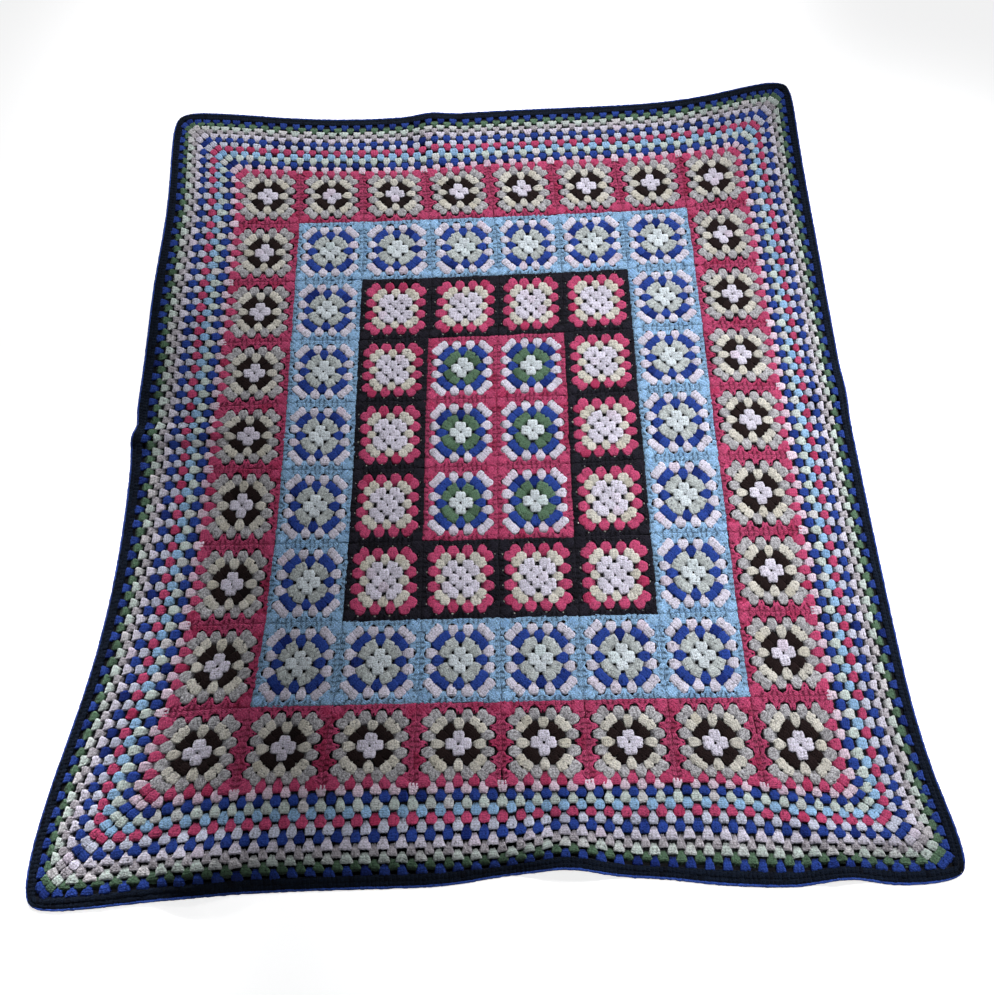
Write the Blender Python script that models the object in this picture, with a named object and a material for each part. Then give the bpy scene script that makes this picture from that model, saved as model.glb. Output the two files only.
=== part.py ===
"""A granny square blanket: 72 crocheted squares in four nested tiers, a border and an edging, laid out flat.

Every piece is a sheet that is drawn on a flat layout, u to the right and v away from the near hem, and then
put in its lying place: the pulls stretch the layout within its plane and the folds lift it off the ground.
Metres, +Z up. The underside lies on z = 0 and the origin is at the middle of the blanket's box.
"""

import bpy
import math

# the squares
SQUARE = 0.115
COLUMNS = 8
ROWS = 9
RING_HOLE = 0.0035  # from a square's middle to the corners of the hole in its first ring

# the border that is worked round the squares
ROUND_HEIGHT = 0.0087
BORDER_ROUNDS = 12
EDGING = 0.0136
CLUSTERS_PER_SQUARE = 5
NOTCH_WIDTH = 0.0064  # the gap between two clusters of the first round, where it is widest
NOTCH_DEPTH = 0.0066

# the cloth
THICKNESS = 0.0035
PIECE_GAP = 0.0003
CORNER_REACH = 0.118  # how far from the corner the outline starts to turn
CORNER_CUT = 0.009
CORNER_POWER = 6

# the middle of the lying blanket's box, which becomes the origin
LYING_MIDDLE = (-0.0200, 0.0143)

PANEL_U = SQUARE * COLUMNS / 2
PANEL_V = SQUARE * ROWS / 2
BORDER = BORDER_ROUNDS * ROUND_HEIGHT + EDGING
HALF_U = PANEL_U + BORDER
HALF_V = PANEL_V + BORDER

# Where the cloth is stretched or drawn in. Columns: name, middle u and v, reach along u and v, shift in x and y.
PULLS = (
    ("upper left corner", -0.56, 0.63, 0.16, 0.19, -0.021, 0.024),
    ("upper right corner", 0.57, 0.66, 0.16, 0.16, 0.000, 0.041),
    ("right side drawn in", 0.60, 0.10, 0.10, 0.70, -0.023, 0.000),
    ("left side upper part", -0.60, 0.28, 0.10, 0.16, -0.014, 0.000),
    ("left side middle", -0.60, 0.03, 0.05, 0.14, -0.010, 0.000),
    ("lower left corner", -0.58, -0.62, 0.14, 0.24, -0.056, -0.014),
    ("lower left columns", -0.30, -0.52, 0.18, 0.15, -0.020, 0.000),
    ("lower right corner", 0.60, -0.64, 0.10, 0.13, 0.030, 0.008),
    ("lower right columns", 0.30, -0.52, 0.20, 0.12, 0.007, 0.000),
    ("left middle columns", -0.36, -0.05, 0.20, 0.24, 0.005, 0.000),
    ("middle columns", -0.05, 0.28, 0.13, 0.14, 0.010, 0.000),
    ("upper columns", -0.05, 0.60, 0.45, 0.14, -0.014, 0.000),
    ("far hem left of the middle", -0.22, 0.64, 0.16, 0.10, 0.000, -0.008),
    ("near hem drawn in", -0.10, -0.57, 0.36, 0.09, 0.000, 0.030),
    ("near hem at its crest", 0.085, -0.64, 0.06, 0.07, 0.000, 0.018),
    ("near hem right part", 0.28, -0.54, 0.14, 0.08, 0.000, 0.010),
    ("near hem by the right corner", 0.44, -0.64, 0.045, 0.05, 0.000, 0.010),
    ("right middle squares", 0.33, 0.02, 0.15, 0.16, 0.000, 0.008),
    ("left middle squares", -0.46, -0.06, 0.12, 0.10, 0.000, 0.011),
    ("squares above the middle", -0.08, 0.24, 0.30, 0.16, 0.000, -0.006),
    ("near border", -0.13, -0.575, 0.30, 0.062, 0.000, -0.019),
    ("near rim of the squares", 0.00, -0.508, 0.50, 0.035, 0.000, -0.005),
    ("right end of the near row", 0.33, -0.48, 0.14, 0.05, 0.000, -0.006),
    ("near hem at the middle", 0.00, -0.64, 0.06, 0.025, 0.000, 0.009),
    ("near hem right of the crest", 0.19, -0.64, 0.07, 0.025, 0.000, 0.008),
    ("near left corner square", -0.48, -0.52, 0.08, 0.15, -0.010, -0.003),
    ("near right corner square", 0.47, -0.51, 0.14, 0.06, 0.002, -0.007),
    ("left rim of the squares", -0.47, 0.00, 0.07, 0.12, -0.002, -0.0045),
    ("far rim of the squares", -0.20, 0.52, 0.16, 0.05, 0.000, -0.005),
    ("far rim left of the middle", -0.115, 0.52, 0.08, 0.04, 0.000, -0.004),
    ("far right corner square", 0.48, 0.45, 0.13, 0.13, -0.004, 0.008),
    ("left edge above the pucker", -0.64, 0.028, 0.07, 0.02, 0.006, 0.000),
    ("left edge below the pucker", -0.64, -0.014, 0.07, 0.02, -0.004, 0.000),
)

# Where the cloth stands off the ground. Columns: name, start u and v, end u and v, half width, height.
FOLDS = (
    ("swell along the near hem", -0.40, -0.596, 0.03, -0.592, 0.046, 0.020),
    ("crest across the near hem", 0.087, -0.660, 0.09, -0.530, 0.080, 0.018),
    ("fold at the lower left", -0.405, -0.660, -0.31, -0.535, 0.050, 0.010),
    ("swell at the lower right", 0.40, -0.575, 0.52, -0.575, 0.036, 0.009),
    ("wave of the hem at the right", 0.43, -0.660, 0.435, -0.600, 0.042, 0.008),
    ("pucker at the left", -0.56, 0.004, -0.44, 0.010, 0.030, 0.007),
    ("left edge lifted at the pucker", -0.64, 0.010, -0.58, 0.006, 0.024, 0.006),
    ("wave of the far hem", -0.105, 0.660, -0.085, 0.560, 0.055, 0.008),
    ("wave of the right side", 0.60, 0.050, 0.53, 0.040, 0.055, 0.007),
)

# The squares of each tier. Columns: node, squares outside and inside it across and up, cells a square, colour.
TIERS = (
    ("centre_block", (2, 3), (0, 0), 2, (0.50, 0.045, 0.13)),
    ("black_tier", (4, 5), (2, 3), 2, (0.012, 0.013, 0.018)),
    ("light_blue_tier", (6, 7), (4, 5), 2, (0.17, 0.38, 0.68)),
    ("raspberry_tier", (8, 9), (6, 7), 4, (0.46, 0.040, 0.12)),
)
BORDER_CELLS = 4  # cells a square along the border, and across it
ROUGHNESS = 0.9


def fold_height(u, v):
    """How far the folds lift the cloth at a point of the layout."""
    lift = 0.0
    for _, u0, v0, u1, v1, half_width, height in FOLDS:
        run_u, run_v = u1 - u0, v1 - v0
        share = ((u - u0) * run_u + (v - v0) * run_v) / (run_u**2 + run_v**2)
        share = min(max(share, 0.0), 1.0)
        distance = math.hypot(u - u0 - share * run_u, v - v0 - share * run_v)
        if distance < half_width:
            lift += height * math.cos(math.pi / 2 * distance / half_width) ** 2
    return lift


def lying_place(u, v):
    """The underside's place for a point of the layout."""
    x, y = u, v
    for _, middle_u, middle_v, reach_u, reach_v, shift_x, shift_y in PULLS:
        near = math.exp(-(((u - middle_u) / reach_u) ** 2) - ((v - middle_v) / reach_v) ** 2)
        x += shift_x * near
        y += shift_y * near
    past_u = max(0.0, abs(u) - HALF_U + CORNER_REACH) / CORNER_REACH
    past_v = max(0.0, abs(v) - HALF_V + CORNER_REACH) / CORNER_REACH
    cut = CORNER_CUT * (past_u * past_v) ** CORNER_POWER
    x -= math.copysign(cut, u)
    y -= math.copysign(cut, v)
    return x - LYING_MIDDLE[0], y - LYING_MIDDLE[1], fold_height(u, v)


def make_material(name, colour):
    material = bpy.data.materials.new(name)
    material.use_nodes = True
    shader = material.node_tree.nodes["Principled BSDF"]
    shader.inputs["Base Color"].default_value = (*colour, 1.0)
    shader.inputs["Roughness"].default_value = ROUGHNESS
    shader.inputs["Metallic"].default_value = 0.0
    return material


def make_sheet(name, polygons, colour):
    """A closed sheet over polygons of the layout, which share their corners: two faces, and walls at its rims."""
    places = {}
    for polygon in polygons:
        for corner in polygon:
            places.setdefault(corner, len(places))
    under = [lying_place(u, v) for u, v in places]
    over = [(x, y, z + THICKNESS) for x, y, z in under]
    count = len(places)
    faces = []
    edges = set()
    for polygon in polygons:
        loop = [places[corner] for corner in polygon]
        faces.append([index + count for index in loop])
        faces.append(loop[::-1])
        edges.update(zip(loop, loop[1:] + loop[:1]))
    for start, end in sorted(edges):
        if (end, start) not in edges:
            faces.append([start, end, end + count, start + count])
    mesh = bpy.data.meshes.new(name)
    mesh.from_pydata(under + over, [], faces)
    mesh.update()
    mesh.materials.append(make_material(name, colour))
    sheet = bpy.data.objects.new(name, mesh)
    bpy.context.scene.collection.objects.link(sheet)
    return sheet


def tier_lines(outer, inner, step):
    """Lines of a tier's grid, a seam's half gap in from its outer rim and out from its inner one."""
    count = round(2 * outer / step)
    lines = [step * index - outer for index in range(count + 1)]
    moved = {outer: outer - PIECE_GAP / 2, inner: inner + PIECE_GAP / 2}
    result = []
    for line in lines:
        for rim, place in moved.items():
            if rim > 0 and abs(abs(line) - rim) < step / 100:
                line = math.copysign(place, line)
        result.append(round(line, 7))
    return result


def ring_cells(u_lines, v_lines, inner_u, inner_v):
    """The grid's cells outside the inner rectangle, each as its low and high corner."""
    for u0, u1 in zip(u_lines, u_lines[1:]):
        for v0, v1 in zip(v_lines, v_lines[1:]):
            if abs(u0 + u1) / 2 > inner_u or abs(v0 + v1) / 2 > inner_v:
                yield u0, v0, u1, v1


def square_middles():
    """The middle of every square of the panel."""
    for column in range(COLUMNS):
        for row in range(ROWS):
            u = SQUARE * (column + 0.5) - PANEL_U
            v = SQUARE * (row + 0.5) - PANEL_V
            yield round(u, 7), round(v, 7)


def cell_with_hole(u0, v0, u1, v1, middles):
    """A cell's corners, with a corner cut off where it is the middle of a square."""
    corners = [(u0, v0), (u1, v0), (u1, v1), (u0, v1)]
    loop = []
    for index, corner in enumerate(corners):
        if corner not in middles:
            loop.append(corner)
            continue
        for other in (corners[index - 1], corners[(index + 1) % 4]):
            step_u = math.copysign(RING_HOLE, other[0] - corner[0]) if other[0] != corner[0] else 0.0
            step_v = math.copysign(RING_HOLE, other[1] - corner[1]) if other[1] != corner[1] else 0.0
            loop.append((round(corner[0] + step_u, 7), round(corner[1] + step_v, 7)))
    return loop


def make_tier(name, outer, inner, cells, colour):
    """A block or ring of whole squares, each with the round hole at its middle cut through."""
    step = SQUARE / cells
    inner_u, inner_v = SQUARE * inner[0] / 2, SQUARE * inner[1] / 2
    u_lines = tier_lines(SQUARE * outer[0] / 2, inner_u, step)
    v_lines = tier_lines(SQUARE * outer[1] / 2, inner_v, step)
    middles = set(square_middles())
    polygons = [cell_with_hole(*cell, middles) for cell in ring_cells(u_lines, v_lines, inner_u, inner_v)]
    return make_sheet(name, polygons, colour)


def side_places(side, along, out):
    """A layout point from its place along a side of the panel and its distance out from the panel."""
    if side == 0:
        return along, -PANEL_V - out
    if side == 1:
        return PANEL_U + out, along
    if side == 2:
        return -along, PANEL_V + out
    return -PANEL_U - out, -along


def make_joining_round():
    """The first round: clusters that are narrow at the panel, with a gap cut through between each two."""
    inside, outside = PIECE_GAP / 2, ROUND_HEIGHT - PIECE_GAP / 2
    pitch = SQUARE / CLUSTERS_PER_SQUARE
    polygons = []
    for side in range(4):
        squares = COLUMNS if side % 2 == 0 else ROWS
        half = SQUARE * squares / 2
        count = squares * CLUSTERS_PER_SQUARE
        notches = [pitch * (index + 0.5) - half for index in range(count)]
        before = notches[0] - pitch
        for notch in notches:
            start_foot, end_foot = before + NOTCH_WIDTH / 2, notch - NOTCH_WIDTH / 2
            start, start_out = before, inside + NOTCH_DEPTH
            if before < -half:
                start_foot, start, start_out = -half - inside, -half - outside, outside
            loop = [(start_foot, inside), (end_foot, inside), (notch, inside + NOTCH_DEPTH), (notch, outside)]
            if start_out < outside:
                loop.append((before, outside))
            loop.append((start, start_out))
            polygons.append((side, loop))
            before = notch
        last = [(before + NOTCH_WIDTH / 2, inside), (half + inside, inside), (half + outside, outside)]
        last += [(before, outside), (before, inside + NOTCH_DEPTH)]
        polygons.append((side, last))
    placed = []
    for side, loop in polygons:
        points = [side_places(side, along, out) for along, out in loop]
        placed.append([(round(u, 7), round(v, 7)) for u, v in reversed(points)])
    return make_sheet("joining_round", placed, (0.62, 0.47, 0.52))


def band_lines(half, out_lines):
    """Lines of a band's grid: across the panel's side in equal cells, and the band's own lines at both ends."""
    step = SQUARE / BORDER_CELLS
    count = round(2 * half / step)
    middle = [step * index - half for index in range(1, count)]
    low = [-half - out for out in reversed(out_lines)]
    high = [half + out for out in out_lines]
    return [round(line, 7) for line in low + middle + high]


def make_band(name, out_lines, inner, colour):
    """A closed band round the panel between its first and last line."""
    u_lines = band_lines(PANEL_U, out_lines)
    v_lines = band_lines(PANEL_V, out_lines)
    cells = ring_cells(u_lines, v_lines, PANEL_U + inner, PANEL_V + inner)
    polygons = [[(u0, v0), (u1, v0), (u1, v1), (u0, v1)] for u0, v0, u1, v1 in cells]
    return make_sheet(name, polygons, colour)


def make_border():
    start = ROUND_HEIGHT + PIECE_GAP / 2
    end = ROUND_HEIGHT * BORDER_ROUNDS - PIECE_GAP / 2
    out_lines = [start + (end - start) * index / BORDER_CELLS for index in range(BORDER_CELLS + 1)]
    return make_band("border_rounds", out_lines, ROUND_HEIGHT, (0.42, 0.42, 0.55))


def make_edging():
    rounds = ROUND_HEIGHT * BORDER_ROUNDS
    start = ROUND_HEIGHT + PIECE_GAP / 2
    end = rounds - PIECE_GAP / 2
    turn_lines = [start + (end - start) * index / BORDER_CELLS for index in range(BORDER_CELLS)]
    out_lines = turn_lines + [rounds + PIECE_GAP / 2, BORDER]
    return make_band("edging_band", out_lines, rounds, (0.010, 0.013, 0.030))


def main():
    for old in list(bpy.data.objects):
        bpy.data.objects.remove(old)
    for name, outer, inner, cells, colour in TIERS:
        make_tier(name, outer, inner, cells, colour)
    make_joining_round()
    make_border()
    make_edging()


main()
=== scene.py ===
import math

import bpy
import numpy as np
from mathutils import Matrix, Vector


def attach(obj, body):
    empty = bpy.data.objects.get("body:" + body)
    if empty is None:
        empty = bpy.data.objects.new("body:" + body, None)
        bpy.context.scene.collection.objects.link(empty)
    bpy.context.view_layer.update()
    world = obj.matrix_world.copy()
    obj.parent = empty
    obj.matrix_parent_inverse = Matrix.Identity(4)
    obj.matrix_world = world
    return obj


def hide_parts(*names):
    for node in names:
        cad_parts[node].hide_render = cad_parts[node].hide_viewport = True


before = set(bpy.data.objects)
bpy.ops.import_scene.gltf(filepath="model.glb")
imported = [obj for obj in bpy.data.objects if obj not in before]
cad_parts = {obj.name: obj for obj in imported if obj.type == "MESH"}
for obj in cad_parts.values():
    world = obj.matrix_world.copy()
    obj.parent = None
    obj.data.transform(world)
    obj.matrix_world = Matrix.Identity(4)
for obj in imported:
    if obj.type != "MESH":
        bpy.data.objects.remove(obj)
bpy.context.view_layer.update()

mm = 0.001


# the flat layout of the blanket and how it lies

# u runs to the right and v away from the near hem, both from the middle of the flat blanket, in metres
blanket = {
    "square": 0.115,
    "columns": 8,
    "rows": 9,
    "roundHeight": 0.0087,
    "borderRounds": 12,
    "edging": 0.0136,
    "cornerReach": 0.118,  # how far from a corner the outline starts to turn
    "cornerCut": 0.009,
    "cornerPower": 6,
    "lyingMiddle": (-0.0200, 0.0143),
    "offTheGround": 0.0002,
}
panelU = blanket["square"] * blanket["columns"] / 2
panelV = blanket["square"] * blanket["rows"] / 2
roundsDepth = blanket["borderRounds"] * blanket["roundHeight"]
halfU = panelU + roundsDepth + blanket["edging"]
halfV = panelV + roundsDepth + blanket["edging"]

# where the cloth is stretched or drawn in: name, middle u and v, reach along u and v, shift in x and y
pulls = (
    ("upper left corner", -0.56, 0.63, 0.16, 0.19, -0.021, 0.024),
    ("upper right corner", 0.57, 0.66, 0.16, 0.16, 0.000, 0.041),
    ("right side drawn in", 0.60, 0.10, 0.10, 0.70, -0.023, 0.000),
    ("left side upper part", -0.60, 0.28, 0.10, 0.16, -0.014, 0.000),
    ("left side middle", -0.60, 0.03, 0.05, 0.14, -0.010, 0.000),
    ("lower left corner", -0.58, -0.62, 0.14, 0.24, -0.056, -0.014),
    ("lower left columns", -0.30, -0.52, 0.18, 0.15, -0.020, 0.000),
    ("lower right corner", 0.60, -0.64, 0.10, 0.13, 0.030, 0.008),
    ("lower right columns", 0.30, -0.52, 0.20, 0.12, 0.007, 0.000),
    ("left middle columns", -0.36, -0.05, 0.20, 0.24, 0.005, 0.000),
    ("middle columns", -0.05, 0.28, 0.13, 0.14, 0.010, 0.000),
    ("upper columns", -0.05, 0.60, 0.45, 0.14, -0.014, 0.000),
    ("far hem left of the middle", -0.22, 0.64, 0.16, 0.10, 0.000, -0.008),
    ("near hem drawn in", -0.10, -0.57, 0.36, 0.09, 0.000, 0.030),
    ("near hem at its crest", 0.085, -0.64, 0.06, 0.07, 0.000, 0.018),
    ("near hem right part", 0.28, -0.54, 0.14, 0.08, 0.000, 0.010),
    ("near hem by the right corner", 0.44, -0.64, 0.045, 0.05, 0.000, 0.010),
    ("right middle squares", 0.33, 0.02, 0.15, 0.16, 0.000, 0.008),
    ("left middle squares", -0.46, -0.06, 0.12, 0.10, 0.000, 0.011),
    ("squares above the middle", -0.08, 0.24, 0.30, 0.16, 0.000, -0.006),
    ("near border", -0.13, -0.575, 0.30, 0.062, 0.000, -0.019),
    ("near rim of the squares", 0.00, -0.508, 0.50, 0.035, 0.000, -0.005),
    ("right end of the near row", 0.33, -0.48, 0.14, 0.05, 0.000, -0.006),
    ("near hem at the middle", 0.00, -0.64, 0.06, 0.025, 0.000, 0.009),
    ("near hem right of the crest", 0.19, -0.64, 0.07, 0.025, 0.000, 0.008),
    ("near left corner square", -0.48, -0.52, 0.08, 0.15, -0.010, -0.003),
    ("near right corner square", 0.47, -0.51, 0.14, 0.06, 0.002, -0.007),
    ("left rim of the squares", -0.47, 0.00, 0.07, 0.12, -0.002, -0.0045),
    ("far rim of the squares", -0.20, 0.52, 0.16, 0.05, 0.000, -0.005),
    ("far rim left of the middle", -0.115, 0.52, 0.08, 0.04, 0.000, -0.004),
    ("far right corner square", 0.48, 0.45, 0.13, 0.13, -0.004, 0.008),
    ("left edge above the pucker", -0.64, 0.028, 0.07, 0.02, 0.006, 0.000),
    ("left edge below the pucker", -0.64, -0.014, 0.07, 0.02, -0.004, 0.000),
)

# where the cloth stands off the ground: name, start u and v, end u and v, half width, height
folds = (
    ("swell along the near hem", -0.40, -0.596, 0.03, -0.592, 0.046, 0.020),
    ("crest across the near hem", 0.087, -0.660, 0.09, -0.530, 0.080, 0.018),
    ("fold at the lower left", -0.405, -0.660, -0.31, -0.535, 0.050, 0.010),
    ("swell at the lower right", 0.40, -0.575, 0.52, -0.575, 0.036, 0.009),
    ("wave of the hem at the right", 0.43, -0.660, 0.435, -0.600, 0.042, 0.008),
    ("pucker at the left", -0.56, 0.004, -0.44, 0.010, 0.030, 0.007),
    ("left edge lifted at the pucker", -0.64, 0.010, -0.58, 0.006, 0.024, 0.006),
    ("wave of the far hem", -0.105, 0.660, -0.085, 0.560, 0.055, 0.008),
    ("wave of the right side", 0.60, 0.050, 0.53, 0.040, 0.055, 0.007),
)


def foldLift(u, v):
    # how far the folds lift the cloth at points of the layout
    lift = np.zeros_like(u)
    for _, startU, startV, endU, endV, halfWidth, height in folds:
        runU, runV = endU - startU, endV - startV
        share = ((u - startU) * runU + (v - startV) * runV) / (runU**2 + runV**2)
        share = np.clip(share, 0.0, 1.0)
        distance = np.hypot(u - startU - share * runU, v - startV - share * runV)
        inside = np.minimum(distance / halfWidth, 1.0)
        lift += height * np.cos(math.pi / 2 * inside) ** 2
    return lift


def liesAt(u, v, up):
    # the place in the row frame of points of the layout that are this far up through the cloth
    x, y = u.copy(), v.copy()
    for _, middleU, middleV, reachU, reachV, shiftX, shiftY in pulls:
        near = np.exp(-(((u - middleU) / reachU) ** 2) - ((v - middleV) / reachV) ** 2)
        x += shiftX * near
        y += shiftY * near
    reach = blanket["cornerReach"]
    pastU = np.maximum(0.0, np.abs(u) - halfU + reach) / reach
    pastV = np.maximum(0.0, np.abs(v) - halfV + reach) / reach
    cut = blanket["cornerCut"] * (pastU * pastV) ** blanket["cornerPower"]
    x -= np.copysign(cut, u) + blanket["lyingMiddle"][0]
    y -= np.copysign(cut, v) + blanket["lyingMiddle"][1]
    z = foldLift(u, v) + blanket["offTheGround"] + up
    return np.stack([x, y, z], -1)


# shader maths

class Wire:
    # a socket that takes part in sums: every sum adds its own Math node
    def __init__(self, tree, socket):
        self.tree = tree
        self.socket = socket

    def sum(self, operation, *values):
        return self.tree.add("ShaderNodeMath", {"operation": operation}, "Value", *values)

    def __add__(self, other): return self.sum("ADD", self, other)
    def __radd__(self, other): return self.sum("ADD", other, self)
    def __sub__(self, other): return self.sum("SUBTRACT", self, other)
    def __rsub__(self, other): return self.sum("SUBTRACT", other, self)
    def __mul__(self, other): return self.sum("MULTIPLY", self, other)
    def __rmul__(self, other): return self.sum("MULTIPLY", other, self)
    def __truediv__(self, other): return self.sum("DIVIDE", self, other)
    def __rtruediv__(self, other): return self.sum("DIVIDE", other, self)
    def __pow__(self, other): return self.sum("POWER", self, other)
    def __abs__(self): return self.sum("ABSOLUTE", self)

    def sine(self): return self.sum("SINE", self)

    def step(self, low, high):
        # 0 below low, 1 above high and smooth between them
        settings = {"interpolation_type": "SMOOTHSTEP"}
        return self.tree.add("ShaderNodeMapRange", settings, "Result", self, low, high, 0.0, 1.0)


class ShaderTree:
    def __init__(self, name):
        self.material = bpy.data.materials.new(name)
        self.material.use_nodes = True
        self.nodes = self.material.node_tree.nodes
        self.links = self.material.node_tree.links
        self.shader = self.nodes["Principled BSDF"]

    def add(self, kind, settings, output, *values, **named):
        # one node: its settings first, then its sockets in order or by name
        node = self.nodes.new(kind)
        for key, value in settings.items():
            setattr(node, key, value)
        for key, value in list(enumerate(values)) + list(named.items()):
            self.feed(node.inputs[key], value)
        return Wire(self, node.outputs[output])

    def feed(self, socket, value):
        if isinstance(value, Wire):
            self.links.new(value.socket, socket)
        elif value is not None:
            socket.default_value = value

    def attribute(self, name, output):
        return self.add("ShaderNodeAttribute", {"attribute_name": name}, output)

    def parts(self, vector):
        node = self.nodes.new("ShaderNodeSeparateXYZ")
        self.feed(node.inputs[0], vector)
        return [Wire(self, socket) for socket in node.outputs]

    def vector(self, x, y, z):
        return self.add("ShaderNodeCombineXYZ", {}, "Vector", x, y, z)

    def blend(self, share, first, second, way="MIX"):
        # two colours through a Mix node, whose colour sockets are the seventh and eighth
        node = self.nodes.new("ShaderNodeMix")
        node.data_type = "RGBA"
        node.blend_type = way
        self.feed(node.inputs["Factor"], share)
        self.feed(node.inputs[6], first)
        self.feed(node.inputs[7], second)
        return Wire(self, node.outputs[2])

    def noise(self, place, scale, detail=2.0, roughness=0.5):
        return self.add("ShaderNodeTexNoise", {}, "Fac", Vector=place, Scale=scale, Detail=detail,
                        Roughness=roughness)

    def grey(self, value):
        # one number as a grey colour
        return self.add("ShaderNodeCombineColor", {}, "Color", value, value, value)

    def bump(self, height, strength, distance):
        return self.add("ShaderNodeBump", {}, "Normal", Height=height, Strength=strength, Distance=distance)


# the yarns

# colour, second colour, how much of it runs through a strand, how often a whole cluster takes it, and sheen
yarns = {
    "mintWhiteYarn": ((0.77, 0.84, 0.90), (0.69, 0.79, 0.82), 0.3, 0.2, 0.10),
    "lilacWhiteYarn": ((0.79, 0.76, 0.90), (0.76, 0.66, 0.80), 0.3, 0.2, 0.10),
    "softPinkYarn": ((0.86, 0.69, 0.82), (0.78, 0.57, 0.73), 0.3, 0.2, 0.10),
    "paleLilacYarn": ((0.68, 0.71, 0.87), (0.60, 0.62, 0.80), 0.3, 0.25, 0.10),
    "creamYarn": ((0.75, 0.72, 0.66), (0.68, 0.64, 0.55), 0.5, 0.3, 0.10),
    "paleMintYarn": ((0.65, 0.765, 0.72), (0.76, 0.72, 0.76), 0.3, 0.45, 0.10),
    "silverMarlYarn": ((0.64, 0.69, 0.69), (0.33, 0.36, 0.37), 0.65, 0.0, 0.08),
    "greyMarlYarn": ((0.61, 0.60, 0.64), (0.24, 0.225, 0.24), 0.75, 0.0, 0.08),
    "paleMarlYarn": ((0.64, 0.60, 0.66), (0.31, 0.28, 0.31), 0.7, 0.0, 0.08),
    "raspberryYarn": ((0.63, 0.088, 0.212), (0.49, 0.044, 0.125), 0.35, 0.3, 0.05),
    "royalBlueYarn": ((0.032, 0.078, 0.39), (0.012, 0.030, 0.20), 0.35, 0.3, 0.03),
    "skyBlueYarn": ((0.36, 0.60, 0.90), (0.28, 0.50, 0.82), 0.35, 0.2, 0.05),
    "mossGreenYarn": ((0.130, 0.230, 0.145), (0.085, 0.155, 0.095), 0.4, 0.3, 0.04),
    "darkBrownYarn": ((0.020, 0.011, 0.011), (0.011, 0.006, 0.006), 0.3, 0.2, 0.02),
    "blackYarn": ((0.022, 0.020, 0.031), (0.010, 0.009, 0.015), 0.3, 0.2, 0.02),
    # not a yarn: the near-black of the painted shadow dots in the openings between the clusters
    "paintedHoleShadow": ((0.014, 0.010, 0.012), (0.008, 0.006, 0.008), 0.3, 0.2, 0.0),
    "brightBlueYarn": ((0.045, 0.115, 0.56), (0.03, 0.08, 0.40), 0.2, 0.0, 0.10),
    "navyYarn": ((0.007, 0.013, 0.028), (0.004, 0.006, 0.014), 0.3, 0.2, 0.02),
}

yarnFinish = {
    "paintedCreviceShade": 0.46,  # how bright the painted crevice shade leaves the yarn deep between the stitches
    "partingWidth": 0.15,  # of the line of painted shade between two posts, as a share of half a cluster
    "paintedPartingShade": 0.62,
    "loopPitch": 3.1,  # millimetres from one loop of a post to the next
    "loopSlant": 0.8,  # how far a loop leans between the middle and the side of its post, in loops
    "loopUneven": 1.6,
    "loopDark": 0.24,
    "paintedPitShade": 0.46,  # how dark the painted shade is in the small gaps between the loops of a post
    "cordPitch": 4.4,  # of the slanted stitches along the rim of a square, in millimetres
    "cordSlant": 0.34,
    # how dark the painted shade is in the lines between the rim's slanted stitches
    "paintedCordShade": 0.66,
    "clusterShift": 0.20,  # how much the clusters differ in brightness
    "roughness": 0.92,
    "bumpDistance": 0.0008,
    "bumpStrength": 0.9,
    "shadeLow": 0.47,  # of the fuzz's darkest strands, and how much brighter its brightest are
    "shadeRange": 1.04,
    "shine": 0.12,
    "sheenRoughness": 0.5,
}


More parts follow.
